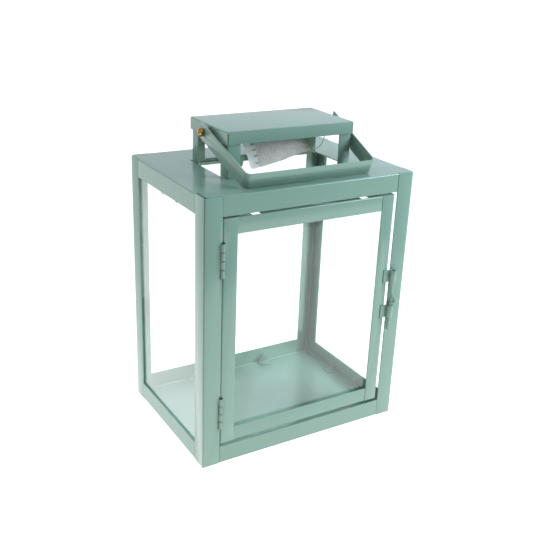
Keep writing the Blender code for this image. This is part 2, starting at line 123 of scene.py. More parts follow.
def baked(obj):
    # modifiers become plain mesh
    obj.data = bpy.data.meshes.new_from_object(obj.evaluated_get(bpy.context.evaluated_depsgraph_get()))
    obj.modifiers.clear()
    return obj


def shaded(obj, angle=shading["smoothUpTo"]):
    obj.data.shade_smooth()
    obj.data.set_sharp_from_angle(angle=math.radians(angle))
    return obj


def softened(obj, width):
    # paint rounds every sheet edge a little
    edge = obj.modifiers.new("paintedEdge", "BEVEL")
    edge.width, edge.segments, edge.limit_method = width, shading["edgeSegments"], "ANGLE"
    edge.angle_limit = math.radians(shading["edgeFrom"])
    return shaded(baked(obj))


def cutAway(obj, tools):
    for tool in tools:
        step = obj.modifiers.new("cut", "BOOLEAN")
        step.operation, step.solver, step.object = "DIFFERENCE", "EXACT", tool
        baked(obj)
        discard(tool)
    return obj


def joined(name, parts):
    # one mesh from several, their objects used up
    bm = bmesh.new()
    materials = []
    for part in parts:
        for material in part.data.materials:
            if material not in materials:
                materials.append(material)
        start = len(bm.faces)
        bm.from_mesh(part.data)
        bm.faces.ensure_lookup_table()
        for face in bm.faces[start:]:
            face.material_index = materials.index(part.data.materials[face.material_index])
    obj = fromBmesh(name, bm, materials)
    for part in parts:
        discard(part)
    return shaded(obj)


def settled(obj, body, nodes):
    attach(obj, body)
    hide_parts(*nodes)
    return obj


def pointValues(obj, name, values):
    # a number for every point, which a finish reads by its name
    kept = obj.data.attributes.new(name, "FLOAT", "POINT")
    kept.data.foreach_set("value", [float(value) for value in values])


def moved(obj, matrix):
    obj.data.transform(matrix)
    return obj


def boxMesh(low, high):
    bm = bmesh.new()
    bmesh.ops.create_cube(bm, size=1)
    for vert in bm.verts:
        vert.co = Vector([high[i] if vert.co[i] > 0 else low[i] for i in range(3)])
    return bm


def block(low, high, *materials):
    return piece("block", boxMesh(low, high), *materials)


def arc(centreX, centreY, radius, start, end, steps):
    angles = [math.radians(start + (end - start) * i / steps) for i in range(steps + 1)]
    return [(centreX + radius * math.cos(a), centreY + radius * math.sin(a)) for a in angles]


def fullTurn(steps):
    return [2 * math.pi * i / steps for i in range(steps)]


def rounds(profile, steps):
    # a ring of points about Z for each radius and height
    return [[(r * math.cos(a), r * math.sin(a), z) for a in fullTurn(steps)] for r, z in profile]


def bridged(bm, near, far):
    for i in range(len(near)):
        j = (i + 1) % len(near)
        bm.faces.new((near[i], near[j], far[j], far[i]))


def skin(name, rings, *materials):
    # closed skin through rings of points with the same count, its ends flat
    bm = bmesh.new()
    loops = [[bm.verts.new(point) for point in ring] for ring in rings]
    for near, far in zip(loops, loops[1:]):
        bridged(bm, near, far)
    bm.faces.new(loops[0][::-1])
    bm.faces.new(loops[-1])
    return piece(name, bm, *materials)


def turned(name, profile, steps, *materials):
    # turned about Z from radius, height points round a closed profile that stays off the axis
    bm = bmesh.new()
    rings = [[bm.verts.new(point) for point in ring] for ring in rounds(profile, steps)]
    for near, far in zip(rings, rings[1:] + rings[:1]):
        bridged(bm, near, far)
    return piece(name, bm, *materials)


def rod(radius, low, high, steps):
    return skin("rod", rounds([(radius, low), (radius, high)], steps))


merging = {"near": 0.002 * mm, "flat": 0.5}  # distance, and angle in degrees


def sheetCopy(name, node, edge=0.0):
    # a CAD sheet part, its triangles merged into whole faces
    bm = bmesh.new()
    bm.from_mesh(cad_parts[node].data)
    bmesh.ops.remove_doubles(bm, verts=bm.verts, dist=merging["near"])
    bmesh.ops.dissolve_limit(bm, angle_limit=math.radians(merging["flat"]), verts=bm.verts, edges=bm.edges)
    obj = piece(name, bm, paint)
    return softened(obj, edge) if edge else shaded(obj)


# Finishes

# the last colour is painted shade for the corner post folds
powderCoat = {"colour": "#779484", "paler": "#7D988A", "roughness": 0.17, "roughnessSpread": 0.03,
              "peel": 2.2 * mm, "peelDepth": 0.0012 * mm, "cloud": 45 * mm, "thin": "#47645A"}


def makePowderCoat():
    # semi-gloss sage powder coat, sprayed and baked: an even colour, soft mirror and a slight orange peel
    look = powderCoat
    material, tree, shader, _ = newMaterial("powderCoatSage", {"IOR": 1.5})
    place = addNode(tree, "ShaderNodeTexCoord").outputs["Object"]
    cloud = addNode(tree, "ShaderNodeTexNoise", {"Scale": 1 / look["cloud"], "Detail": 2.0}, {"Vector": place})
    tone = addNode(tree, "ShaderNodeMix", {"A": linear(look["colour"]), "B": linear(look["paler"])},
                   {"Factor": cloud.outputs["Fac"]}, data_type="RGBA")
    thin = addNode(tree, "ShaderNodeAttribute", attribute_name="thin")  # painted shade: a dark line along the post's folded corner
    foldShaded = addNode(tree, "ShaderNodeMix", {"B": linear(look["thin"])},
                   {"Factor": thin.outputs["Fac"], "A": tone.outputs[2]}, data_type="RGBA")
    peel = addNode(tree, "ShaderNodeTexNoise", {"Scale": 1 / look["peel"], "Detail": 1.0}, {"Vector": place})
    gloss = addNode(tree, "ShaderNodeMapRange",
                    {"To Min": look["roughness"] - look["roughnessSpread"],
                     "To Max": look["roughness"] + look["roughnessSpread"]}, {"Value": cloud.outputs["Fac"]})
    bump = addNode(tree, "ShaderNodeBump", {"Strength": 1.0, "Distance": look["peelDepth"]},
                   {"Height": peel.outputs["Fac"]})
    feed(tree, shader, {"Base Color": foldShaded.outputs[2], "Roughness": gloss.outputs[0], "Normal": bump.outputs[0]})
    return material


# dark finish of the painted shade strips in the seams, shared by the hinge pins
seamShadeAndPinLook = {"colour": "#2C332F", "stain": "#1C211E", "stainSize": 1.5 * mm, "roughness": 0.6, "gloss": 0.2}


def makeSeamShadeAndPin():
    # dull, dark, a little brown steel: painted shade for the strips set into seams and gaps, also worn by the
    # hinge pins
    look = seamShadeAndPinLook
    material, tree, shader, _ = newMaterial("seamShadeAndPinSteel", {"Roughness": look["roughness"],
                                                              "Specular IOR Level": look["gloss"]})
    place = addNode(tree, "ShaderNodeTexCoord").outputs["Object"]
    stain = addNode(tree, "ShaderNodeTexNoise", {"Scale": 1 / look["stainSize"], "Detail": 2.0},
                    {"Vector": place})
    tone = addNode(tree, "ShaderNodeMix", {"A": linear(look["colour"]), "B": linear(look["stain"])},
                   {"Factor": stain.outputs["Fac"]}, data_type="RGBA")
    feed(tree, shader, {"Base Color": tone.outputs[2]})
    return material


floatGlass = {"tint": "#F3FAF6", "ior": 1.52, "gloss": 0.33, "edgeTint": "#A9CDBB", "edgeClear": 0.6,
              "edgeRough": (0.35, 0.75), "grit": 0.5 * mm, "gritDepth": 0.06 * mm, "arris": 0.35 * mm}


def makeFloatGlass():
    # 2 mm clear float glass: flat, polished by the tin bath, faintly green
    tint = linear(floatGlass["tint"])
    material, tree, shader, output = newMaterial("floatGlass", {
        "Base Color": tint, "Roughness": 0.0, "IOR": floatGlass["ior"], "Specular IOR Level": floatGlass["gloss"],
        "Transmission Weight": 1.0})
    clear = addNode(tree, "ShaderNodeBsdfTransparent", {"Color": tint})
    lamp = addNode(tree, "ShaderNodeLightPath")
    mix = addNode(tree, "ShaderNodeMixShader", None,
                  {0: lamp.outputs["Is Shadow Ray"], 1: shader.outputs[0], 2: clear.outputs[0]})
    feed(tree, output, {"Surface": mix.outputs[0]})
    return material


def makeGroundEdge():
    # the pane's cut edge, ground with a coarse belt: frosted, speckled and greener than the face
    look = floatGlass
    material, tree, shader, _ = newMaterial("groundGlassEdge", {
        "Base Color": linear(look["edgeTint"]), "IOR": look["ior"], "Transmission Weight": look["edgeClear"]})
    place = addNode(tree, "ShaderNodeTexCoord").outputs["Object"]
    grit = addNode(tree, "ShaderNodeTexNoise", {"Scale": 1 / look["grit"], "Detail": 3.0}, {"Vector": place})
    smoothest, roughest = look["edgeRough"]
    rough = addNode(tree, "ShaderNodeMapRange", {"To Min": smoothest, "To Max": roughest},
                    {"Value": grit.outputs["Fac"]})
    bump = addNode(tree, "ShaderNodeBump", {"Strength": 1.0, "Distance": look["gritDepth"]},
                   {"Height": grit.outputs["Fac"]})
    feed(tree, shader, {"Roughness": rough.outputs[0], "Normal": bump.outputs[0]})
    return material


yellowZinc = {"gold": "#C79F4E", "rust": "#5E2A14", "patch": 2.6 * mm, "goldUpTo": 0.42, "rustFrom": 0.68,
              "scratch": 0.25 * mm, "smoothest": 0.16, "roughest": 0.34}


def makeYellowZinc():
    # yellow passivated zinc on cold headed steel: brassy, with red-brown patches, fine turning marks
    look = yellowZinc
    material, tree, shader, _ = newMaterial("yellowPassivatedZinc", {"Metallic": 1.0})
    place = addNode(tree, "ShaderNodeTexCoord").outputs["Object"]
    patch = addNode(tree, "ShaderNodeTexNoise", {"Scale": 1 / look["patch"], "Detail": 2.0}, {"Vector": place})
    ramp = addNode(tree, "ShaderNodeValToRGB", None, {"Fac": patch.outputs["Fac"]})
    setRamp(ramp, [(look["goldUpTo"], linear(look["gold"])), (look["rustFrom"], linear(look["rust"]))])
    fine = addNode(tree, "ShaderNodeTexNoise", {"Scale": 1 / look["scratch"]}, {"Vector": place})
    gloss = addNode(tree, "ShaderNodeMapRange", {"To Min": look["smoothest"], "To Max": look["roughest"]},
                    {"Value": fine.outputs["Fac"]})
    feed(tree, shader, {"Base Color": ramp.outputs[0], "Roughness": gloss.outputs[0]})
    return material


nonwoven = {"colour": "#E6DDD7", "shade": "#B8AFA9", "shadeUpTo": 0.35, "colourFrom": 0.65, "seal": "#E9E6E3",
            "dash": "#8F8A88", "fibre": 1.0 * mm, "bead": 1.4 * mm, "beadDepth": 0.25 * mm, "beadShow": 0.8,
            "sheen": 0.2, "clothRough": 0.9, "sealRough": 0.6}


def makeNonwoven():
    # thin spunbond nonwoven over drying beads: matt, mottled, its heat seal smoother and paler
    look = nonwoven
    material, tree, shader, _ = newMaterial("spunbondNonwoven", {"Sheen Weight": look["sheen"]})
    place = addNode(tree, "ShaderNodeTexCoord").outputs["Object"]
    fibre = addNode(tree, "ShaderNodeTexNoise", {"Scale": 1 / look["fibre"], "Detail": 5.0, "Roughness": 0.7},
                    {"Vector": place})
    ramp = addNode(tree, "ShaderNodeValToRGB", None, {"Fac": fibre.outputs["Fac"]})
    setRamp(ramp, [(look["shadeUpTo"], linear(look["shade"])), (look["colourFrom"], linear(look["colour"]))])
    seal = addNode(tree, "ShaderNodeAttribute", attribute_name="seal")
    tone = addNode(tree, "ShaderNodeMix", {"B": linear(look["seal"])},
                   {"Factor": seal.outputs["Fac"], "A": ramp.outputs[0]}, data_type="RGBA")
    dash = addNode(tree, "ShaderNodeAttribute", attribute_name="dash")
    pressed = addNode(tree, "ShaderNodeMix", {"B": linear(look["dash"])},
                      {"Factor": dash.outputs["Fac"], "A": tone.outputs[2]}, data_type="RGBA")
    bead = addNode(tree, "ShaderNodeTexVoronoi", {"Scale": 1 / look["bead"]}, {"Vector": place},
                   feature="SMOOTH_F1")
    raised = addNode(tree, "ShaderNodeMath", {0: 1.0}, {1: bead.outputs["Distance"]}, operation="SUBTRACT")
    loose = addNode(tree, "ShaderNodeMath", {0: 1.0}, {1: seal.outputs["Fac"]}, operation="SUBTRACT")
    height = addNode(tree, "ShaderNodeMath", None, {0: raised.outputs[0], 1: loose.outputs[0]},
                     operation="MULTIPLY")
    bump = addNode(tree, "ShaderNodeBump", {"Strength": look["beadShow"], "Distance": look["beadDepth"]},
                   {"Height": height.outputs[0]})
    rough = addNode(tree, "ShaderNodeMapRange", {"To Min": look["clothRough"], "To Max": look["sealRough"]},
                    {"Value": seal.outputs["Fac"]})
    feed(tree, shader, {"Base Color": pressed.outputs[2], "Roughness": rough.outputs[0],
                        "Normal": bump.outputs[0]})
    return material


twistedCotton = {"colour": "#FDFBF6", "shade": "#E6E2DA", "twist": 2.88 * mm, "wobble": 1.0, "sheen": 0.3,
                 "roughness": 0.9}


def makeCotton():
    # two-ply cotton string: matt, its plies drawn as a fine helix of light and shade
    look = twistedCotton
    material, tree, shader, _ = newMaterial("twistedCotton", {"Sheen Weight": look["sheen"],
                                                              "Roughness": look["roughness"]})
    place = addNode(tree, "ShaderNodeTexCoord").outputs["Object"]
    ply = addNode(tree, "ShaderNodeTexWave", {"Scale": 1 / look["twist"], "Distortion": look["wobble"]},
                  {"Vector": place}, bands_direction="DIAGONAL")
    ramp = addNode(tree, "ShaderNodeValToRGB", None, {"Fac": ply.outputs["Fac"]})
    setRamp(ramp, [(0.2, linear(look["shade"])), (0.8, linear(look["colour"]))])
    feed(tree, shader, {"Base Color": ramp.outputs[0]})
    return material


paint = makePowderCoat()
glass = makeFloatGlass()
groundEdge = makeGroundEdge()
seamShadeAndPin = makeSeamShadeAndPin()
zinc = makeYellowZinc()
bagCloth = makeNonwoven()
cotton = makeCotton()
print("finishes made")


# One tree for every row of equal pieces

def makeRowTree():
    tree = bpy.data.node_groups.new("rowOfPieces", "GeometryNodeTree")
    tree.is_modifier = True
    kinds = {"Piece": "Object", "Count": "Int", "Step": "Vector", "Turn": "Rotation", "Start": "Vector",
             "Material": "Material"}
    sockets = {name: tree.interface.new_socket(name, in_out="INPUT", socket_type=f"NodeSocket{kind}").identifier
               for name, kind in kinds.items()}
    tree.interface.new_socket("Geometry", in_out="OUTPUT", socket_type="NodeSocketGeometry")
    given = addNode(tree, "NodeGroupInput").outputs
    line = addNode(tree, "GeometryNodeMeshLine", None,
                   {"Count": given["Count"], "Start Location": given["Start"], "Offset": given["Step"]})
    source = addNode(tree, "GeometryNodeObjectInfo", None, {"Object": given["Piece"]})
    placed = addNode(tree, "GeometryNodeInstanceOnPoints", None, {
        "Points": line.outputs[0], "Instance": source.outputs["Geometry"], "Rotation": given["Turn"]})
    real = addNode(tree, "GeometryNodeRealizeInstances", None, {0: placed.outputs[0]})
    finished = addNode(tree, "GeometryNodeSetMaterial", None, {"Geometry": real.outputs[0],
                                                                "Material": given["Material"]})
    addNode(tree, "NodeGroupOutput", None, {0: finished.outputs[0]})
    return tree, sockets


rowTree, rowSockets = makeRowTree()


def row(source, count, start, step, turn, material):
    obj = newObject("row", bpy.data.meshes.new("row"))
    modifier = obj.modifiers.new("row", "NODES")
    modifier.node_group = rowTree
    for name, value in {"Piece": source, "Count": count, "Step": step, "Turn": turn, "Start": start,
                        "Material": material}.items():
        modifier[rowSockets[name]] = value
    return shaded(baked(obj))


# Folded sheet: posts, legs and panels

# the last three set the painted shade line along each post's fold
posts = {"flange": 16.5 * mm, "sheet": 1.0 * mm, "fold": 1.2 * mm, "foldSteps": 8, "tip": 3.0 * mm,
         "tipStops": (3.0 * mm, 2.2 * mm, 1.6 * mm), "edge": 0.16 * mm, "notchGap": 0.3 * mm,
         "notchDepth": 1.3 * mm, "thin": 0.9, "foldShadeFoot": 0.25, "foldShadeReach": 0.55}


def foldedPost(name, corner, sides, low, high):
    # folded L of sheet, its outer corner ground round at the top
    sheet, fold, flange, tip, stops = (posts[key] for key in ("sheet", "fold", "flange", "tip", "tipStops"))
    outer = [(flange, 0)] + [(s, 0) for s in stops] + arc(fold, fold, fold, 270, 180, posts["foldSteps"])
    inner = [(flange, sheet)] + [(s, sheet) for s in stops]
    inner += arc(fold, fold, fold - sheet, 270, 180, posts["foldSteps"])
    outer += [(0, s) for s in stops[::-1]] + [(0, flange)]
    inner += [(sheet, s) for s in stops[::-1]] + [(sheet, flange)]

    def top(a, b):
        inwards = max(a, b)
        return high - (tip - math.sqrt(tip ** 2 - (tip - inwards) ** 2) if inwards < tip else 0)

    columns = []
    for outside, inside in zip(outer, inner):
        levels = ((outside, low), (inside, low), (inside, top(*outside)), (outside, top(*outside)))
        columns.append([(corner[0] - sides[0] * a, corner[1] - sides[1] * b, z) for (a, b), z in levels])
    return skin(name, columns, paint)


def paintedFoldShade(point, corner, height):
    # how dark the painted shade along the fold line is, more towards the top
    inwards = max(abs(point.x - corner[0]), abs(point.y - corner[1]))
    if inwards >= posts["fold"] * posts["foldShadeReach"]:
        return 0.0
    return posts["thin"] * (posts["foldShadeFoot"] + (1 - posts["foldShadeFoot"]) * point.z / height)


def cornerPosts():
    gap, past = posts["notchGap"], 5 * mm
    for place in ("front_left", "front_right", "rear_left", "rear_right"):
        node = f"corner_post_{place}"
        low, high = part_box(node)
        side = (-1 if "left" in place else 1, -1 if "front" in place else 1)
        corner = (low.x if side[0] < 0 else high.x, low.y if side[1] < 0 else high.y)
        post = foldedPost(pieceName(node), corner, side, low.z, high.z)
        if place == "front_left":
            notches = []
            for hinge in ("upper", "lower"):
                knuckleLow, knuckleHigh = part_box(f"hinge_{hinge}_pin")
                leafLow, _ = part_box(f"hinge_{hinge}_door_leaf")
                notches.append(block((leafLow.x - gap, low.y - past, knuckleLow.z - gap),
                                     (high.x + past, low.y + posts["notchDepth"], knuckleHigh.z + gap)))
            cutAway(post, notches)
        softened(post, posts["edge"])
        pointValues(post, "thin", [paintedFoldShade(vertex.co, corner, high.z) for vertex in post.data.vertices])
        settled(post, "frame", [node])


seam = {"sunk": 0.1 * mm, "post": 0.6 * mm, "cornerGap": 1.3 * mm, "cornerRun": 5 * mm, "cornerDeep": 1.8 * mm,
        "slit": 0.8 * mm, "slitInset": 0.2 * mm, "capSheet": 0.8 * mm, "rail": 0.5 * mm, "fillIn": 0.05 * mm,
        "fillFlush": 0.02 * mm, "fillWide": 0.4 * mm, "past": 1 * mm}


def roofSeams(roof, node):
    # the roof stands a little off its two front posts, and further off the left one's side
    low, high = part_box(node)
    left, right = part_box("corner_post_front_left"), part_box("corner_post_front_right")
    sheet, sunk, past = posts["sheet"], seam["sunk"], seam["past"]
    front, side = left[0].y, left[0].x
    corner = (side + sheet, front + sheet, high.z - sheet)
    cuts = [[Vector(low), Vector(high)] for low, high in (
            ((right[0].x - seam["post"], front, low.z), (right[0].x, front + sheet, high.z)),
            (corner, (corner[0] + seam["cornerGap"], left[1].y, high.z)),
            (corner, (side + seam["cornerRun"], front + seam["cornerDeep"], high.z)))]
    # the dark strips sunk into these gaps are painted shade
    strips = [block(cuts[0][0] + Vector((0, sunk, 0)), cuts[0][1] - Vector((0, 0, sheet)), seamShadeAndPin)]
    strips += [block(a, b - Vector((0, 0, sunk)), seamShadeAndPin) for a, b in cuts[1:]]
    cutAway(roof, [block(a - Vector((0, past * (a.y == front), past)), b + Vector((0, 0, past)))
                   for a, b in cuts])
    return strips


def capSeams(cap, node):
    # one folded corner of the cap stays open, lined with a dark strip of painted shade; the other is closed by
    # paint
    low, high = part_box(node)
    sheet, slit, sunk, past = seam["capSheet"], seam["slit"], seam["sunk"], seam["past"]
    start, top = low.x + sheet - seam["slitInset"], high.z - posts["fold"]
    cutAway(cap, [block((start, low.y - past, low.z - past), (start + slit, low.y + sheet, top))])
    filled = block((high.x - sheet - slit, low.y + sunk, low.z + sunk),
                   (high.x - sheet, low.y + sheet, top), paint)
    return [filled, block((start, low.y + sunk, low.z), (start + slit, low.y + sheet, top), seamShadeAndPin)]


def railSeams(rail, node):
    # a painted shade line, a dark strip in the gap where a door rail meets the latch side stile, and paint over
    # its joint with the other one
    low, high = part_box(node)
    near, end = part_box("door_stile_left")[1].x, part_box("door_stile_right")[0].x
    start, back, past = end - seam["rail"], low.y + posts["sheet"], seam["past"]
    cutAway(rail, [block((start, low.y - past, low.z - past), (end + past, back, high.z + past))])
    filled = block((near - seam["fillIn"], low.y + seam["fillFlush"], low.z),
                   (near + seam["fillWide"], back, high.z), paint)
    return [filled, block((start, low.y + seam["sunk"], low.z), (end, back, high.z), seamShadeAndPin)]


edgedSheet = 0.15 * mm  # edge radius of the painted legs, stiles and rails


def sheetPieces():
    whole = ["base_tray", "roof_panel", "cap"]  # these keep the edges of the CAD
    legs = [f"cap_leg_{end}_{side}" for end in ("front", "rear") for side in ("left", "right")]
    door = ["door_stile_left", "door_stile_right", "door_rail_top", "door_rail_bottom"]
    seams = {"roof_panel": roofSeams, "cap": capSeams, "door_rail_top": railSeams, "door_rail_bottom": railSeams}
    for node in whole + legs + door:
        sheet = sheetCopy("sheet", node, 0.0 if node in whole else edgedSheet)
        if node in seams:
            sheet = joined("sheet", [sheet] + seams[node](sheet, node))
        sheet.name = "capShell" if node == "cap" else pieceName(node)
        settled(sheet, "door" if node in door else "frame", [node])


cornerPosts()
sheetPieces()
print("sheet pieces folded")


# Glass

def pane(node, body):
    # a cut pane with ground arrises; its rim wears the ground finish
    low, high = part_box(node)
    across = min(range(2), key=lambda i: high[i] - low[i])
    bm = boxMesh(low, high)
    bmesh.ops.bevel(bm, geom=bm.edges[:], offset=floatGlass["arris"], segments=1, affect="EDGES")
    for face in bm.faces:
        face.material_index = 0 if abs(face.normal[across]) > 0.99 else 1
    settled(piece(pieceName(node), bm, glass, groundEdge), body, [node])


for paneNode in ("pane_left", "pane_right", "pane_rear", "door_pane"):
    pane(paneNode, "door" if paneNode == "door_pane" else "frame")
print("panes cut")


# Spring clips that hold the panes

clips = {"sheet": 0.8 * mm, "width": 12 * mm, "tip": 3 * mm, "foot": 8 * mm, "fold": 1.1 * mm, "foldSteps": 6,
         "steps": 12, "heel": 0.72, "heelRun": 0.8 * mm, "roundFrom": 0.93, "roundRun": 0.075, "blunt": 0.3,
         "edge": 0.12 * mm,
         "lower": {"height": 10.5 * mm, "lean": 2.2 * mm, "curl": 0.5 * mm},
         "upper": {"height": 20.2 * mm, "lean": 1.6 * mm, "curl": 0.6 * mm}}


def clipShape(name, look):
    # ribbon from the foot's end, round its fold and up a tapering tongue
    fold, sheet = clips["fold"], clips["sheet"]
    stations = [(-clips["foot"], sheet / 2, clips["heel"]), (-clips["foot"] + clips["heelRun"], sheet / 2, 1.0),
                (-fold - sheet, sheet / 2, 1.0)]
    stations += [(y, z, 1.0) for y, z in
                 arc(-fold - sheet / 2, sheet / 2 + fold, fold, 270, 360, clips["foldSteps"])[1:]]
    for i in range(1, clips["steps"] + 1):
        t = i / clips["steps"]
        y = -sheet / 2 - look["lean"] * t + look["curl"] * (t * t - t)
        z = sheet / 2 + fold + (look["height"] - sheet / 2 - fold) * t
        taper = 1 + (clips["tip"] / clips["width"] - 1) * t
        tipRound = math.sqrt(max(0.0, 1 - max(0.0, (t - clips["roundFrom"]) / clips["roundRun"]) ** 2))
        stations.append((y, z, taper * max(tipRound, clips["blunt"])))
    rings = []
    for i, (y, z, share) in enumerate(stations):
        before, after = stations[max(i - 1, 0)], stations[min(i + 1, len(stations) - 1)]
        along = Vector((after[0] - before[0], after[1] - before[1])).normalized()
        across = Vector((-along.y, along.x)) * sheet / 2
        half = clips["width"] / 2 * share
        rings.append([(-half, y + across.x, z + across.y), (half, y + across.x, z + across.y),
                      (half, y - across.x, z - across.y), (-half, y - across.x, z - across.y)])
    return softened(skin(name, rings, paint), clips["edge"])


def glassClips():
    shapes = {level: clipShape("clip", clips[level]) for level in ("lower", "upper")}
    rows = []
    nodes = []
    for side, angle in (("rear", 0), ("left", 90), ("right", -90)):
        for level in shapes:
            ends = [f"{level}_clip_{side}_{end}" for end in ("a", "b")]
            nodes += ends
            centres = []
            for node in ends:
                low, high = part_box(node)
                middle = (low + high) / 2
                root = Vector((middle.x, high.y, low.z if level == "lower" else high.z))
                if side != "rear":
                    root = Vector((low.x if side == "left" else high.x, middle.y, root.z))
                centres.append(root)
            turn = Matrix.Rotation(math.radians(angle), 3, "Z")
            if level == "upper":
                turn = turn @ Matrix.Rotation(math.pi, 3, "Y")
            rows.append(row(shapes[level], 2, centres[0], centres[1] - centres[0], turn.to_euler(), paint))
    settled(joined("glassClips", rows), "frame", nodes)
    for shape in shapes.values():
        discard(shape)


glassClips()
print("clips placed")


# Hinges

hinge = {"radius": 1.7 * mm, "bore": 1.0 * mm, "pin": 0.85 * mm, "knuckles": 4, "gap": 0.7 * mm, "round": 0.2 * mm,
         "steps": 28, "pinDome": 0.25 * mm, "pinEnd": 0.6, "inset": 0.15 * mm, "grooveReach": 2.0 * mm,
         "grooveBack": 0.6 * mm}


def knuckle(length, r):
    bore, soft = hinge["bore"], hinge["round"]
    return turned("knuckle", [(bore, 0), (r - soft, 0), (r, soft), (r, length - soft), (r - soft, length),
                              (bore, length)], hinge["steps"], paint)


def hinges():
    for place in ("upper", "lower"):
        pinLow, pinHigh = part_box(f"hinge_{place}_pin")
        middle = (pinLow + pinHigh) / 2
        length = pinHigh.z - pinLow.z
        pitch = (length + hinge["gap"]) / hinge["knuckles"]
        for first, body in enumerate(("door", "frame")):
            leaf = f"hinge_{place}_{body}_leaf"
            shape = knuckle(pitch - hinge["gap"], hinge["radius"] - first * hinge["inset"])
            start = Vector((middle.x, middle.y, pinHigh.z - first * pitch - (pitch - hinge["gap"])))
            knuckles = row(shape, hinge["knuckles"] // 2, start, Vector((0, 0, -2 * pitch)), (0, 0, 0), paint)
            discard(shape)
            plate = sheetCopy("plate", leaf)
            reach, depth, half = hinge["grooveReach"], hinge["radius"] + hinge["gap"], hinge["gap"] / 2
            joints = [pinHigh.z - k * pitch + half for k in range(1, hinge["knuckles"])]
            cutAway(plate, [block((middle.x - reach, middle.y - depth, z - half),
                                  (middle.x + reach, middle.y + hinge["grooveBack"], z + half)) for z in joints])
            settled(joined(pieceName(leaf), [plate, knuckles]), body, [leaf])
        r, dome, node = hinge["pin"], hinge["pinDome"], f"hinge_{place}_pin"
        pin = skin(pieceName(node), rounds([(r * hinge["pinEnd"], pinLow.z), (r, pinLow.z + dome),
                                            (r, pinHigh.z - dome), (r * hinge["pinEnd"], pinHigh.z)],
                                           hinge["steps"]), seamShadeAndPin)
        moved(pin, Matrix.Translation((middle.x, middle.y, 0)))
        settled(shaded(pin), "frame", [node])


hinges()
print("hinges rolled")


# Latch: curled straps and a bent wire pin

latch = {"barrel": 2.9 * mm, "bore": 2.1 * mm, "strap": 0.8 * mm, "reach": 8.8 * mm, "foot": 4.5 * mm, "steps": 32,
         "freeEnd": -218, "leave": 1.5 * mm, "lying": 0.02 * mm, "snug": 0.25 * mm, "edge": 0.14 * mm,
         "wire": 1.65 * mm, "wireSides": 20, "dome": 0.4 * mm, "gap": 0.3 * mm, "thumbOut": 4.6 * mm,
         "thumbForward": 1.2 * mm, "bendSteps": 8, "bends": [  # shares of out and forward, and the height
             (0, 0, 0), (0.55, 0.6, 0.3 * mm), (1, 1, 2.4 * mm), (0.8, 0.85, 4.4 * mm), (0.32, 0.36, 8.2 * mm),
             (0, 0, 12.4 * mm)]}


def latchStraps():
    for place in ("upper", "lower"):
        node = f"latch_strap_{place}"
        low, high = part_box(node)
        axisX, axisY = high.x - latch["barrel"], low.y + latch["barrel"]
        front = axisY + latch["barrel"]
        back = high.y - latch["strap"]
        slotX = axisX - latch["reach"]
        t = latch["strap"]
        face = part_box("door_stile_right")[0].y
        # from the barrel's free end round the pin, along the face and through the slot to the foot
        curl = arc(axisX, axisY, latch["barrel"], latch["freeEnd"], 90, latch["steps"])
        bore = arc(axisX, axisY, latch["bore"], latch["freeEnd"], 90, latch["steps"])
        leave, lying, snug = axisX - latch["leave"], face - latch["lying"], slotX - latch["snug"]
        footEnd = slotX - latch["foot"]
        outer = curl + [(leave, lying), (slotX + t, lying), (slotX + t, back + t), (footEnd, back + t)]
        inner = bore + [(leave, front - t), (slotX, front - t), (snug, face), (snug, back), (footEnd, back)]
        outline = outer + inner[::-1]
        strap = skin(pieceName(node), [[(x, y, z) for x, y in outline] for z in (low.z, high.z)], paint)
        settled(softened(strap, latch["edge"]), "door", [node])


def smoothRoute(places, perSpan):
    ends = [2 * places[0] - places[1]] + places + [2 * places[-1] - places[-2]]
    route = []
    for a, b, c, d in zip(ends, ends[1:], ends[2:], ends[3:]):
        for i in range(perSpan):
            t = i / perSpan
            route.append(0.5 * (2 * b + (c - a) * t + (2 * a - 5 * b + 4 * c - d) * t * t
                                + (3 * b - a - 3 * c + d) * t ** 3))
    return route + [places[-1]]


wireEnd = ((1, 0.55), (0.45, 0.85))  # each end ring's share of the dome and of the radius


def wire(name, route, radius, sides, dome, *materials):
    # round wire along a route, its cut ends a little domed
    rings = []
    right = Vector((0, 1, 0))
    for i, point in enumerate(route):
        along = (route[min(i + 1, len(route) - 1)] - route[max(i - 1, 0)]).normalized()
        right = (right - along * right.dot(along)).normalized()
        up = along.cross(right)
        rings.append((point, along, right.copy(), up))
    loops = []
    first, last = rings[0], rings[-1]
    stations = [(first, -out * dome, share) for out, share in wireEnd] + [(ring, 0, 1) for ring in rings]
    stations += [(last, out * dome, share) for out, share in wireEnd[::-1]]
    for (point, along, across, up), shift, share in stations:
        loops.append([point + along * shift + (across * math.cos(a) + up * math.sin(a)) * radius * share
                      for a in fullTurn(sides)])
    return shaded(skin(name, loops, *materials))


def latchPin():
    low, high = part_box("latch_pin")
    barrelLow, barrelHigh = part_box("latch_strap_lower")
    x, y = barrelHigh.x - latch["barrel"], barrelLow.y + latch["barrel"]
    rest = barrelHigh.z + latch["gap"] + latch["wire"]
    places = [Vector((x + out * latch["thumbOut"], y - forward * latch["thumbForward"], rest + height))
              for out, forward, height in latch["bends"]]
    dome = latch["dome"]
    route = [Vector((x, y, low.z + dome)), *smoothRoute(places, latch["bendSteps"]),
             Vector((x, y, high.z - dome))]
    pin = wire("latchPin", route, latch["wire"], latch["wireSides"], dome, paint)
    settled(pin, "latch", ["latch_pin"])


latchStraps()
latchPin()
print("latch bent")


# Bail handle

bail = {"width": 13.9 * mm, "sheet": 1.3 * mm, "lean": 4.3 * mm, "end": 5.9 * mm, "corner": 5.5 * mm,
        "cornerSteps": 14, "reach": 73.4 * mm, "hole": 2.3 * mm, "holeSteps": 24, "edge": 0.22 * mm,
        "clear": 0.3 * mm, "contact": 0.25 * mm}


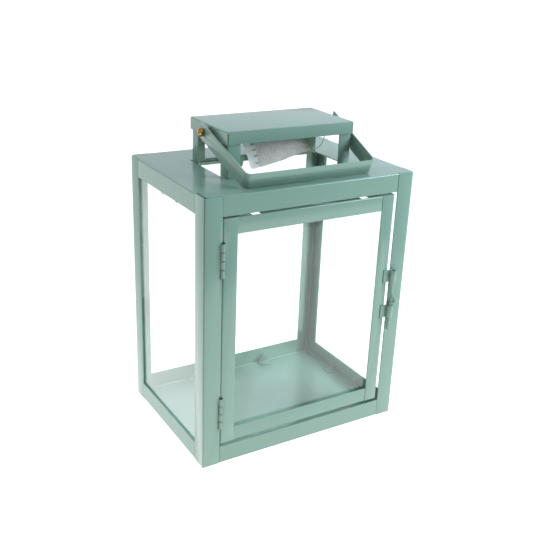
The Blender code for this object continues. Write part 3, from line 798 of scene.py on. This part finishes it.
def bailHandle():
    farSide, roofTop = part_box("bail_handle")[1].x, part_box("roof_panel")[1].z
    screwLow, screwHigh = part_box("pivot_screw_left")
    pivotZ = (screwLow.z + screwHigh.z) / 2
    half = bail["width"] / 2
    drop = pivotZ - roofTop - bail["clear"]
    angle = math.asin(drop / math.hypot(bail["reach"], half)) - math.atan2(half, bail["reach"])
    endShare = bail["end"] / bail["reach"]
    arm = farSide - bail["lean"] * endShare
    bar = arm - bail["lean"]
    lean = math.degrees(math.atan2(bail["lean"], bail["reach"]))

    def halfLine(inset):
        radius = bail["corner"] - inset
        start = (arm + bail["lean"] * endShare - inset, -bail["end"])
        return [start] + arc(bar - bail["corner"], bail["reach"] - bail["corner"], radius, -lean, 90,
                             bail["cornerSteps"])

    outer, inner = halfLine(0), halfLine(bail["sheet"])
    outline = outer + [(-x, u) for x, u in outer[::-1]] + [(-x, u) for x, u in inner] + inner[::-1]
    strip = skin("bailHandle", [[(x, u, z) for x, u in outline] for z in (-half - bail["contact"], half)], paint)
    drill = rod(bail["hole"], -2 * farSide, 2 * farSide, bail["holeSteps"])
    cutAway(strip, [moved(drill, Matrix.Rotation(math.pi / 2, 4, "Y"))])
    lay = Matrix.Translation((0, 0, pivotZ)) @ Matrix.Rotation(angle, 4, "X") @ Matrix.Rotation(math.pi, 4, "Z")
    moved(strip, lay)
    settled(softened(strip, bail["edge"]), "bail", ["bail_handle"])


bailHandle()
print("bail bent")


# Pivot screws, spacers and nuts

screw = {"shank": 2.0 * mm, "pitch": 0.7 * mm, "thread": 0.28 * mm, "tip": 0.3 * mm, "head": 3.8 * mm,
         "headHeight": 3.9 * mm, "rim": 0.15 * mm, "rimShare": 0.3, "flatness": 0.8, "collar": 3.0 * mm,
         "collarHeight": 1.2 * mm, "cross": 2.3 * mm, "crossWide": 0.5 * mm, "crossDepth": 1.5 * mm,
         "crossTurn": 0.4, "crossFloor": 0.45, "crossMouth": 1.15, "steps": 40, "smoothUpTo": 30,
         "spacer": 3.8 * mm, "spacerBore": 2.3 * mm, "spacerRound": 0.2 * mm, "nut": 7.0 * mm,
         "nutRound": 0.35 * mm, "nutFit": 0.05 * mm, "past": 1 * mm}


def screwShape(length):
    # pan head up at z = length, thread down to 0
    rise, crest = length - screw["headHeight"], screw["shank"]
    root, rim, head = crest - screw["thread"], screw["rim"], screw["head"]
    profile = [(root, 0.0)]
    z = screw["tip"]
    while z < rise - screw["pitch"]:
        profile += [(root, z), (crest, z + screw["pitch"] / 2)]
        z += screw["pitch"]
    under = rise + screw["collarHeight"]
    profile += [(root, rise), (screw["collar"], rise), (screw["collar"], under), (head - rim, under),
                (head, under + rim)]
    share = screw["rimShare"]
    for a in [math.radians(12 * i) for i in range(7)]:
        dome = share + (1 - share) * math.sin(a)
        profile.append((head * math.cos(a) ** screw["flatness"], under + (length - under) * dome))
    body = skin("screw", rounds(profile, screw["steps"]), zinc)
    reach, wide = screw["cross"], screw["crossWide"]
    floor, mouth = length - screw["crossDepth"], length + screw["past"]
    tools = []
    for turn in (screw["crossTurn"], screw["crossTurn"] + math.pi / 2):
        wing = skin("wing", [[(-reach * s, -wide * s, h), (reach * s, -wide * s, h), (reach * s, wide * s, h),
                              (-reach * s, wide * s, h)] for s, h in ((screw["crossFloor"], floor),
                                                                      (screw["crossMouth"], mouth))])
        tools.append(moved(wing, Matrix.Rotation(turn, 4, "Z")))
    return shaded(cutAway(body, tools), screw["smoothUpTo"])


def pivotHardware():
    screwLow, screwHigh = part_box("pivot_screw_right")
    spacerLow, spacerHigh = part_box("pivot_spacer_right")
    nutLow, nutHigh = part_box("pivot_nut_right")
    centre = (screwLow + screwHigh) / 2
    shape = screwShape(screwHigh.x - screwLow.x)
    bore, outside, soft = screw["spacerBore"], screw["spacer"], screw["spacerRound"]
    length = spacerHigh.x - spacerLow.x
    ring = turned("ring", [(bore, 0), (outside - soft, 0), (outside, soft), (outside, length - soft),
                           (outside - soft, length), (bore, length)], screw["steps"], zinc)
    height, corner, soft = nutHigh.x - nutLow.x, screw["nut"] / math.sqrt(3), screw["nutRound"]
    nut = skin("nut", rounds([(corner - soft, 0), (corner, soft), (corner, height - soft),
                              (corner - soft, height)], 6), zinc)
    cutAway(nut, [rod(screw["shank"] + screw["nutFit"], -screw["past"], height + screw["past"], screw["steps"])])
    for name, source, low, node in (("pivotScrews", shape, screwLow.x, "screw"),
                                    ("pivotSpacers", ring, spacerLow.x, "spacer"),
                                    ("pivotNuts", nut, nutLow.x, "nut")):
        pair = [row(source, 1, Vector((side * low, centre.y, centre.z)), Vector((0, 0, 0)),
                    (0, side * math.pi / 2, 0), zinc) for side in (-1, 1)]
        settled(joined(name, pair), "frame", [f"pivot_{node}_left", f"pivot_{node}_right"])
        discard(source)


pivotHardware()
print("pivots fitted")


# Desiccant sachet and its string

sachet = {"stations": [  # x, middle above the roof, half height, half thickness, lean, all in mm
    (-28.6, 10.6, 12.4, 0.35, -5.0), (-24.0, 11.0, 12.8, 0.5, -4.6), (-16.0, 12.6, 13.0, 2.6, -3.6),
    (-4.0, 14.8, 13.2, 4.6, -2.0), (8.0, 16.2, 12.4, 5.0, -1.0), (20.0, 16.2, 9.6, 4.4, 0.0),
    (30.0, 14.4, 5.8, 3.2, 0.0), (37.0, 12.0, 2.6, 2.0, 0.0), (40.6, 11.2, 1.4, 1.3, 0.0)],
    "around": 56, "perSpan": 7, "behind": -6 * mm, "flatness": 0.8, "sealRings": 13, "neckRings": 10,
    "puff": 4.0, "frames": 20, "quality": 6, "cap": 1.2 * mm,
    "pleats": 9, "pleatDepth": 0.72 * mm, "pleatTwist": 3, "gatherFrom": 0.5,
    "crumple": 0.7 * mm, "crumpleSize": 9 * mm, "slackFrom": 0.12, "slackUpTo": 0.8, "slackRun": 0.2,
    "marks": (0.75, 0.3, -0.15, -0.6), "markHalf": 0.05, "markBack": 3, "markRings": 2,
    "crease": 0.8, "creaseDepth": 1.6 * mm, "creaseSoft": 0.25, "creaseLip": 0.3, "creaseStart": 0.1}


def sachetShell(roofTop):
    # tube of cloth, flat at the heat seal and gathered at the neck
    stations = smoothRoute([Vector(s[:3]) for s in sachet["stations"]], sachet["perSpan"])
    shapes = smoothRoute([Vector((*s[3:], 0)) for s in sachet["stations"]], sachet["perSpan"])
    rings = []
    for (x, z, halfZ), (halfY, lean, _) in zip(stations, shapes):
        ring = []
        for a in fullTurn(sachet["around"]):
            up, out = math.sin(a), math.cos(a)
            flat = math.copysign(abs(out) ** sachet["flatness"], out)
            ring.append(((x + lean * up) * mm, sachet["behind"] + halfY * flat * mm,
                         roofTop + (z + halfZ * up) * mm))
        rings.append(ring)
    return skin("sachet", rings, bagCloth)


def puffed(obj, held):
    # cloth simulation with air inside; no point may move more than the cap
    rest = [vertex.co.copy() for vertex in obj.data.vertices]
    group = obj.vertex_groups.new(name="held")
    group.add(held, 1.0, "REPLACE")
    cloth = obj.modifiers.new("cloth", "CLOTH")
    cloth.settings.use_pressure = True
    cloth.settings.uniform_pressure_force = sachet["puff"]
    cloth.settings.vertex_group_mass = "held"
    cloth.settings.effector_weights.gravity = 0
    cloth.settings.quality = sachet["quality"]
    cloth.collision_settings.use_collision = False
    for number in range(1, sachet["frames"] + 1):
        bpy.context.scene.frame_set(number)
    for vertex, start in zip(baked(obj).data.vertices, rest):
        step = vertex.co - start
        if step.length > sachet["cap"]:
            vertex.co = start + step.normalized() * sachet["cap"]
    bpy.context.scene.frame_set(1)


def pressed(bag, spans):
    # the heat seal and the dashes pressed into it
    places = [(ring, a) for ring in range(spans) for a in fullTurn(sachet["around"])]
    pointValues(bag, "seal", [ring < sachet["sealRings"] - 1 for ring, _ in places])
    pointValues(bag, "dash", [
        math.cos(a) < 0 and abs(ring - sachet["sealRings"] + sachet["markBack"]) < sachet["markRings"]
        and any(abs(math.sin(a) - mark) < sachet["markHalf"] for mark in sachet["marks"]) for ring, a in places])


def creased(bag, spans):
    # crumples in the slack cloth, pleats at the gather, and one long crease down to the neck
    turnSteps, start, run = fullTurn(sachet["around"]), sachet["gatherFrom"], sachet["slackRun"]
    for index, vertex in enumerate(bag.data.vertices):
        along = (index // sachet["around"]) / (spans - 1)
        a = turnSteps[index % sachet["around"]]
        gather = max(0.0, (along - start) / (1 - start))
        slack = min(1.0, max(0.0, (along - sachet["slackFrom"]) / run))
        slack *= 1 - max(0.0, (along - sachet["slackUpTo"]) / run)
        crumple = noise.noise(vertex.co / sachet["crumpleSize"]) * sachet["crumple"] * slack
        fold = math.sin(sachet["pleats"] * a + sachet["pleatTwist"] * along)
        fold *= sachet["pleatDepth"] * gather * (1.25 - gather)
        vertex.co += Vector((0, math.cos(a), math.sin(a))) * (crumple + fold)
        if math.cos(a) < 0 and along > start:
            left = (1 - along) / (1 - start)
            above = (math.sin(a) - sachet["crease"] * left) / sachet["creaseSoft"]
            depth = min(1.0, max(-sachet["creaseLip"], above)) * min(1.0, (along - start) / sachet["creaseStart"])
            vertex.co.y += sachet["creaseDepth"] * depth * left


def makeSachet():
    bag = sachetShell(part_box("roof_panel")[1].z)
    around = sachet["around"]
    spans = len(bag.data.vertices) // around
    puffed(bag, [i for i in range(len(bag.data.vertices))
                 if i // around < sachet["sealRings"] or i // around > spans - sachet["neckRings"]])
    pressed(bag, spans)
    creased(bag, spans)
    smooth = bag.modifiers.new("smooth", "SUBSURF")
    smooth.levels = smooth.render_levels = 1
    shaded(baked(bag), 180)
    settled(bag, "frame", ["desiccant_sachet"])


string = {"radius": 0.4 * mm, "sides": 12, "perSpan": 4, "places": [  # x, y and height above the roof, in mm
    (58.0, 0.0, 30.6), (58.1, -0.2, 26.5), (57.3, -0.8, 21.8), (55.0, -2.0, 16.8), (51.0, -3.8, 12.8),
    (46.5, -5.3, 11.0), (41.2, -6.0, 11.2)]}


def sachetString():
    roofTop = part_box("roof_panel")[1].z
    route = smoothRoute([Vector((x * mm, y * mm, roofTop + z * mm)) for x, y, z in string["places"]],
                        string["perSpan"])
    cord = wire("sachetString", route, string["radius"], string["sides"], string["radius"] / 2, cotton)
    settled(cord, "frame", ["sachet_string"])


makeSachet()
sachetString()
print("sachet filled")


# Floor, light and camera

floor = {"size": 9.0, "segments": 96, "drop": 0.3 * mm, "near": 1.5, "far": 1.04, "nearReach": 0.12,
         "farReach": 0.85, "colour": "#FBFCFC", "diffuse": "#9A9C9C", "roughness": 0.9}


def makeFloor():
    # opal acrylic light table: glows evenly, brightest under the lamp
    bm = bmesh.new()
    bmesh.ops.create_circle(bm, cap_ends=True, segments=floor["segments"], radius=floor["size"])
    for vert in bm.verts:
        vert.co.z = -floor["drop"]
    table = piece("floor", bm)
    if table.data.polygons[0].normal.z < 0:
        table.data.flip_normals()
    material, tree, shader, _ = newMaterial("opalAcrylic", {
        "Base Color": linear(floor["diffuse"]), "Roughness": floor["roughness"], "Specular IOR Level": 0.0,
        "Emission Color": linear(floor["colour"])})
    place = addNode(tree, "ShaderNodeTexCoord").outputs["Object"]
    distance = addNode(tree, "ShaderNodeVectorMath", None, {0: place}, operation="LENGTH")
    glow = addNode(tree, "ShaderNodeMapRange",
                   {"From Min": floor["nearReach"], "From Max": floor["farReach"], "To Min": floor["near"],
                    "To Max": floor["far"]}, {"Value": distance.outputs["Value"]}, interpolation_type="SMOOTHSTEP")
    feed(tree, shader, {"Emission Strength": glow.outputs[0]})
    table.data.materials.append(material)


studio = {"heights": [(0.0, (0.31, 0.33, 0.36, 1)), (0.35, (0.42, 0.53, 0.58, 1)), (0.85, (1.0, 1.09, 1.20, 1))],
          "back": (0.44, 0.42, 0.46, 1), "backFrom": 0.1, "backFull": 0.8, "front": 0.5, "frontFull": -0.7,
          "backdrop": 1.05}


def makeWorld():
    # a dim room with a light ceiling and a light wall behind; seen straight on it is plain white
    world = bpy.data.worlds.new("studio")
    bpy.context.scene.world = world
    world.use_nodes = True
    tree = world.node_tree
    tree.nodes.clear()
    direction = addNode(tree, "ShaderNodeTexCoord").outputs["Generated"]
    parts = addNode(tree, "ShaderNodeSeparateXYZ", None, {0: direction})
    ramp = addNode(tree, "ShaderNodeValToRGB", None, {"Fac": parts.outputs["Z"]})
    setRamp(ramp, studio["heights"])
    behind = addNode(tree, "ShaderNodeMapRange", {"From Min": studio["backFrom"], "From Max": studio["backFull"]},
                     {"Value": parts.outputs["Y"]}, interpolation_type="SMOOTHSTEP")
    wall = addNode(tree, "ShaderNodeMix", {"A": (0, 0, 0, 1), "B": studio["back"]}, {"Factor": behind.outputs[0]},
                   data_type="RGBA")
    lit = addNode(tree, "ShaderNodeMix", {"Factor": 1.0}, {"A": ramp.outputs[0], "B": wall.outputs[2]},
                  data_type="RGBA", blend_type="ADD")
    ahead = addNode(tree, "ShaderNodeMapRange", {"From Min": 0.0, "From Max": studio["frontFull"], "To Min": 1.0,
                                                 "To Max": studio["front"]},
                    {"Value": parts.outputs["Y"]}, interpolation_type="SMOOTHSTEP")
    room = addNode(tree, "ShaderNodeBackground", None, {"Color": lit.outputs[2], "Strength": ahead.outputs[0]})
    plain = addNode(tree, "ShaderNodeBackground", {"Color": (1, 1, 1, 1), "Strength": studio["backdrop"]})
    ray = addNode(tree, "ShaderNodeLightPath")
    mix = addNode(tree, "ShaderNodeMixShader", None,
                  {0: ray.outputs["Is Camera Ray"], 1: room.outputs[0], 2: plain.outputs[0]})
    addNode(tree, "ShaderNodeOutputWorld", None, {"Surface": mix.outputs[0]})


softbox = {"place": (0.46, -0.42, 0.50), "aim": (0.05, -0.05, 0.27), "size": 0.30, "power": 5.0,
           "colour": (0.74, 0.87, 1.0)}


def makeSoftbox():
    data = bpy.data.lights.new("softbox", "AREA")
    data.shape, data.size = "SQUARE", softbox["size"]
    data.energy, data.color = softbox["power"], softbox["colour"]
    lamp = newObject("softbox", data)
    lamp.location = softbox["place"]
    lamp.rotation_mode = "QUATERNION"
    lamp.rotation_quaternion = (Vector(softbox["aim"]) - lamp.location).to_track_quat("-Z", "Y")


frontCard = {"place": (-0.05, -0.52, 0.28), "wide": 1.1, "tall": 0.5, "colour": "#6A7070", "roughness": 0.9}


def makeFrontCard():
    # a dark board that only shades and mirrors: neither the camera nor the panes see it
    bm = bmesh.new()
    bmesh.ops.create_grid(bm, x_segments=1, y_segments=1, size=0.5)
    material = newMaterial("frontCard", {"Base Color": linear(frontCard["colour"]),
                                         "Roughness": frontCard["roughness"]})[0]
    card = piece("frontCard", bm, material)
    moved(card, Matrix.Translation(frontCard["place"]) @ Matrix.Rotation(math.pi / 2, 4, "X")
          @ Matrix.Diagonal((frontCard["wide"], frontCard["tall"], 1, 1)))
    card.visible_camera = card.visible_transmission = False


camera = {"azimuth": -31.791, "elevation": 22.163, "roll": 2.387, "lens": 53.445, "distance": 808.33 * mm,
          "target": (17.816 * mm, 13.427 * mm, 131.577 * mm), "sensor": 36, "near": 0.05, "far": 50}


def makeCamera():
    a, e, r = (math.radians(camera[name]) for name in ("azimuth", "elevation", "roll"))
    back = Vector((math.sin(a) * math.cos(e), -math.cos(a) * math.cos(e), math.sin(e)))
    right = Vector((math.cos(a), math.sin(a), 0))
    up = back.cross(right)
    turnedRight = right * math.cos(r) + up * math.sin(r)
    turnedUp = up * math.cos(r) - right * math.sin(r)
    data = bpy.data.cameras.new("camera")
    data.lens, data.sensor_width = camera["lens"], camera["sensor"]
    data.clip_start, data.clip_end = camera["near"], camera["far"]
    obj = newObject("camera", data)
    place = Vector(camera["target"]) + back * camera["distance"]
    rows = Matrix((turnedRight, turnedUp, back)).transposed().to_4x4()
    obj.matrix_world = Matrix.Translation(place) @ rows
    bpy.context.scene.camera = obj


makeFloor()
makeWorld()
makeSoftbox()
makeFrontCard()
makeCamera()
bpy.context.scene.view_settings.view_transform = "Standard"
